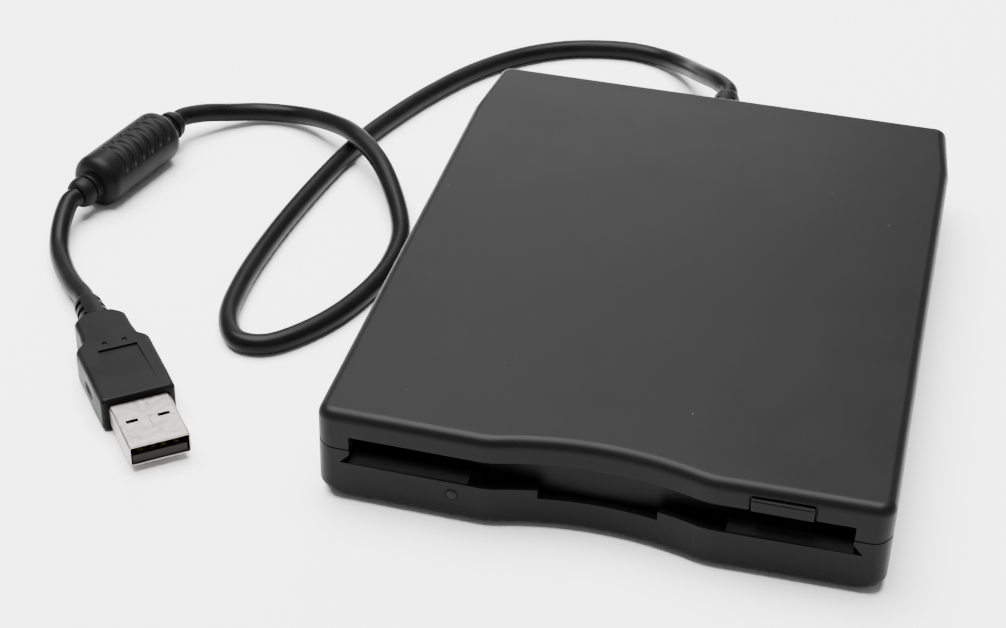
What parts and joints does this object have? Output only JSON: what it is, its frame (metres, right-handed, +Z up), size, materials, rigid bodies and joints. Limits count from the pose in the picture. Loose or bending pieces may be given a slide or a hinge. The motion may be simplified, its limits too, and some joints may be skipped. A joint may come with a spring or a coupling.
{
  "type": "external_floppy_disk_drive",
  "caption": "Slim charcoal external drive for 90 mm floppy disks, with dust door, eject button, full disk mechanism inside and a captive USB lead with a ferrite bead.",
  "frame": {"origin": "Middle of the drive's footprint, on the surface its feet stand on. The lead is left out of that footprint.", "axes": "+X to the right seen from the disk slot, +Y from the slot to the back where the lead leaves, +Z up."},
  "size_m": [0.1881, 0.1866, 0.0201],
  "materials": {
    "case_plastic": "fine-textured charcoal plastic",
    "button_plastic": "fine-textured charcoal plastic, a little smoother",
    "door_plastic": "smooth black plastic",
    "foot_rubber": "matt black rubber",
    "dark_screws": "black oxide steel",
    "plated_screws": "zinc plated steel",
    "spring_steel": "bright drawn wire",
    "bright_steel": "ground bright steel",
    "zinc_sheet": "zinc plated sheet",
    "lamp_lens": "diffused green lens",
    "white_plastic": "natural white plastic",
    "ferrite": "dark sintered ferrite",
    "bronze": "sintered bronze",
    "copper_wire": "enamelled copper wire",
    "circuit_board": "green solder mask",
    "black_resin": "glass-filled black resin",
    "head_ceramic": "polished ceramic",
    "motor_can": "drawn metal can",
    "chip_epoxy": "moulded black epoxy",
    "wire_sleeves": "coloured wire insulation",
    "lead_rubber": "black overmoulding",
    "lead_sheath": "satin black cable sheath",
    "nickel_plate": "nickel plated sheet",
    "gold_contacts": "gold plated contacts"
  },
  "bodies": {
    "base": {"top_cover": "case_plastic", "bottom_case": "case_plastic", "rubber_feet": "foot_rubber", "case_screws": "dark_screws", "door_spring": "spring_steel", "activity_led": "lamp_lens", "chassis": "zinc_sheet", "chassis_screws": "plated_screws", "eject_springs": "spring_steel", "lever_pivot": "bright_steel", "spindle_bearing": "bronze", "stator_coils": "copper_wire", "motor_board": "circuit_board", "guide_rod": "bright_steel", "rod_clamps": "zinc_sheet", "screw_bracket": "zinc_sheet", "stepper_motor": "motor_can", "main_board": "circuit_board", "controller_chips": "chip_epoxy", "media_sensors": "chip_epoxy", "track_sensor": "chip_epoxy", "ribbon_connectors": "white_plastic", "board_ribbon": "white_plastic", "interface_board": "circuit_board", "board_screws": "plated_screws", "interface_chips": "chip_epoxy", "wire_header": "white_plastic", "cable_wires": "wire_sleeves", "strain_relief": "lead_rubber", "cable": "lead_sheath", "ferrite_bead": "lead_rubber", "cable_tail": "lead_sheath", "plug_body": "lead_rubber", "plug_shell": "nickel_plate", "plug_insulator": "black_resin", "plug_contacts": "gold_contacts"},
    "eject": {"eject_button": "button_plastic", "eject_slide": "zinc_sheet"},
    "door": {"dust_door": "door_plastic"},
    "holder": {"disk_holder": "zinc_sheet", "holder_pins": "bright_steel"},
    "lever": {"trigger_lever": "white_plastic"},
    "rotor": {"spindle_rotor": "zinc_sheet", "rotor_magnet": "ferrite", "spindle_shaft": "bright_steel", "drive_pin": "bright_steel"},
    "carriage": {"head_carriage": "black_resin", "lower_head": "head_ceramic", "arm_pivot_pin": "bright_steel", "arm_spring": "spring_steel"},
    "arm": {"upper_arm": "black_resin", "upper_head": "head_ceramic"},
    "screw": {"lead_screw": "bright_steel"}
  },
  "joints": [
    {"name": "eject_travel", "type": "slide", "parent": "base", "child": "eject", "axis": [0, -1, 0], "range_m": [0, 0.0055], "deforming": ["eject_springs"]},
    {"name": "holder_drop", "type": "slide", "parent": "base", "child": "holder", "axis": [0, 0, -1], "range_m": [0, 0.0022]},
    {"name": "lever_swing", "type": "hinge", "parent": "base", "child": "lever", "pos_m": [-0.022, 0.04, 0.0098], "axis": [0, 0, -1], "range_deg": [0, 38]},
    {"name": "door_swing", "type": "hinge", "parent": "base", "child": "door", "pos_m": [0, -0.06125, 0.0159], "axis": [1, 0, 0], "range_deg": [0, 88], "stiffness_Nm_per_rad": 0.002, "springref_deg": -22.92},
    {"name": "spindle_spin", "type": "hinge", "parent": "base", "child": "rotor", "pos_m": [0, -0.018, 0.0086], "axis": [0, 0, 1], "continuous": true},
    {"name": "head_travel", "type": "slide", "parent": "base", "child": "carriage", "axis": [0, -1, 0], "range_m": [0, 0.0148]},
    {"name": "arm_lift", "type": "hinge", "parent": "carriage", "child": "arm", "pos_m": [0, 0.0455, 0.0152], "axis": [1, 0, 0], "range_deg": [0, 8.6]},
    {"name": "screw_turn", "type": "hinge", "parent": "base", "child": "screw", "pos_m": [0.016, 0, 0.0078], "axis": [0, 1, 0], "range_deg": [0, 1777]}
  ],
  "couplings": [
    {"joint": "holder_drop", "follows": "eject_travel", "ratio": 0.39999},
    {"joint": "lever_swing", "follows": "eject_travel", "rad_per_m": 120.58},
    {"joint": "arm_lift", "follows": "eject_travel", "rad_per_m": 27.29},
    {"joint": "screw_turn", "follows": "head_travel", "rad_per_m": 2094.4}
  ]
}
